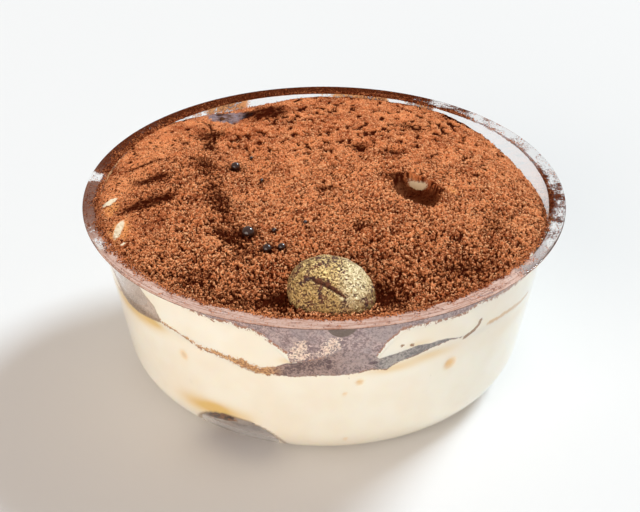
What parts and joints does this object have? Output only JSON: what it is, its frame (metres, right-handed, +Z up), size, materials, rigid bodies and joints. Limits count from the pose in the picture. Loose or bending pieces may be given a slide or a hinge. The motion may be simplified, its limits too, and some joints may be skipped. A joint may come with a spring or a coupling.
{
  "type": "tiramisu dessert in a clear bowl",
  "caption": "Tiramisu portion in a clear round plastic bowl: soaked sponge, mascarpone cream in layers, a cocoa seam, a thick cocoa coat and a gilded coffee bean.",
  "frame": {"origin": "on the table, under the middle of the bowl", "axes": "+Z up along the bowl's axis, -Y to the front, where the coffee bean lies, +X to the right seen from the front"},
  "size_m": [0.095, 0.095, 0.0432],
  "materials": {
    "bowl": "clear glossy plastic",
    "sponge": "soaked crumb",
    "cream": "smooth cream",
    "seam_cocoa": "damp cocoa",
    "cocoa": "dry cocoa powder",
    "gilt": "edible gold dust over chocolate"
  },
  "bodies": {
    "root": {"bowl": "bowl", "sponge": "sponge", "cream_lower": "cream", "cocoa_seam": "seam_cocoa", "cream_upper": "cream", "cocoa_top": "cocoa", "coffee_bean": "gilt"}
  },
  "joints": []
}
